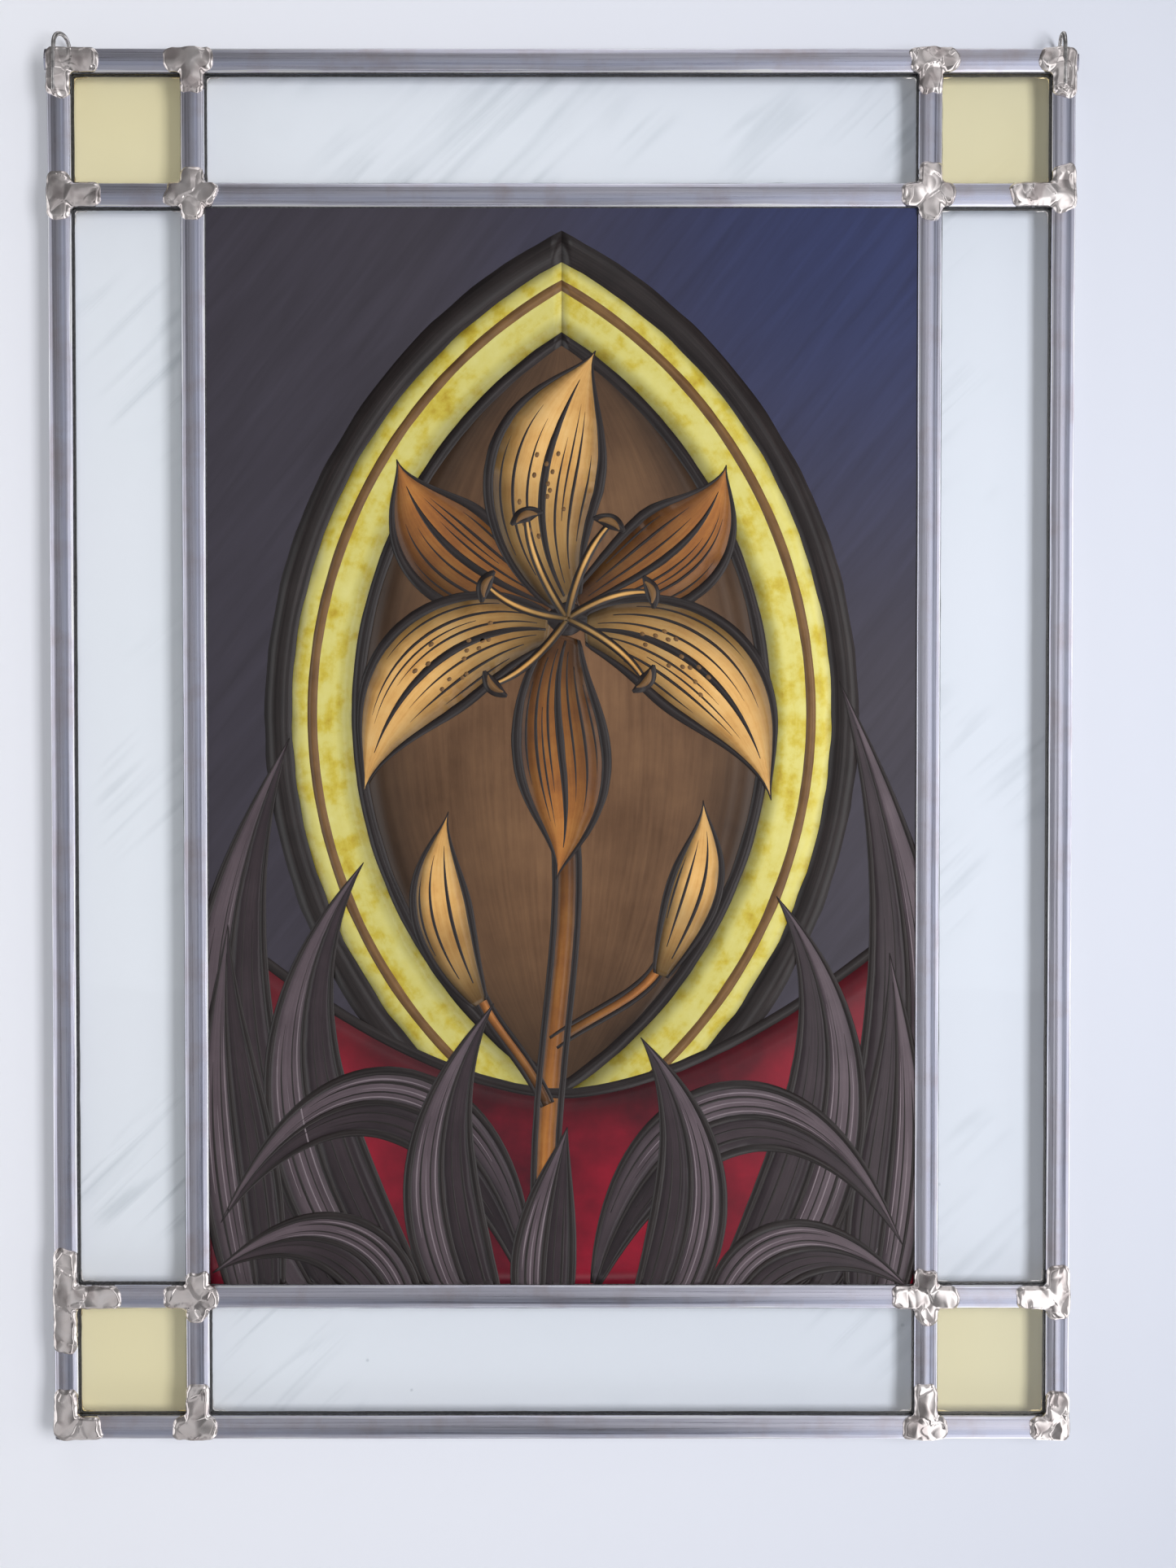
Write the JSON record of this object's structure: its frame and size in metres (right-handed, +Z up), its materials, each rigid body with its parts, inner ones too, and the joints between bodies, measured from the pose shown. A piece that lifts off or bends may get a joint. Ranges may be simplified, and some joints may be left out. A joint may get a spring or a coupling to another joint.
{
  "type": "stained glass window panel",
  "caption": "Rectangular leaded glass panel with a painted pane inside a border of clear strips and yellow corner squares, hung by two wire loops on its top edge.",
  "frame": {"origin": "midway between the two hanging loops, on the level where they bear on their hooks, in the middle plane of the glass", "axes": "+Z up along the panel's height, +X to the viewer's right along its width, -Y towards the viewer out of the front face"},
  "size_m": [0.3614, 0.0098, 0.4974],
  "materials": {
    "lead": "dull drawn lead",
    "solder": "bright tin-lead solder",
    "wire": "tinned copper wire, grey",
    "yellow_glass": "pale yellow antique glass",
    "clear_glass": "clear reamy antique glass with seeds",
    "painted_glass": "kiln-fired glass paint"
  },
  "bodies": {
    "root": {"top_came": "lead", "bottom_came": "lead", "left_came": "lead", "right_came": "lead", "mid_left_upright": "lead", "mid_right_upright": "lead", "upper_bar_left": "lead", "upper_bar_middle": "lead", "upper_bar_right": "lead", "lower_bar_left": "lead", "lower_bar_middle": "lead", "lower_bar_right": "lead", "painted_pane": "painted_glass", "clear_pane_top": "clear_glass", "clear_pane_bottom": "clear_glass", "clear_pane_left": "clear_glass", "clear_pane_right": "clear_glass", "yellow_pane_top_left": "yellow_glass", "yellow_pane_top_right": "yellow_glass", "yellow_pane_bottom_left": "yellow_glass", "yellow_pane_bottom_right": "yellow_glass", "hanging_loop_left": "wire", "hanging_loop_right": "wire", "solder_front_top_left": "solder", "solder_front_top_mid_left": "solder", "solder_front_top_mid_right": "solder", "solder_front_top_right": "solder", "solder_front_upper_left": "solder", "solder_front_upper_mid_left": "solder", "solder_front_upper_mid_right": "solder", "solder_front_upper_right": "solder", "solder_front_lower_left": "solder", "solder_front_lower_mid_left": "solder", "solder_front_lower_mid_right": "solder", "solder_front_lower_right": "solder", "solder_front_bottom_left": "solder", "solder_front_bottom_mid_left": "solder", "solder_front_bottom_mid_right": "solder", "solder_front_bottom_right": "solder", "solder_back_top_left": "solder", "solder_back_top_mid_left": "solder", "solder_back_top_mid_right": "solder", "solder_back_top_right": "solder", "solder_back_upper_left": "solder", "solder_back_upper_mid_left": "solder", "solder_back_upper_mid_right": "solder", "solder_back_upper_right": "solder", "solder_back_lower_left": "solder", "solder_back_lower_mid_left": "solder", "solder_back_lower_mid_right": "solder", "solder_back_lower_right": "solder", "solder_back_bottom_left": "solder", "solder_back_bottom_mid_left": "solder", "solder_back_bottom_mid_right": "solder", "solder_back_bottom_right": "solder"}
  },
  "joints": []
}
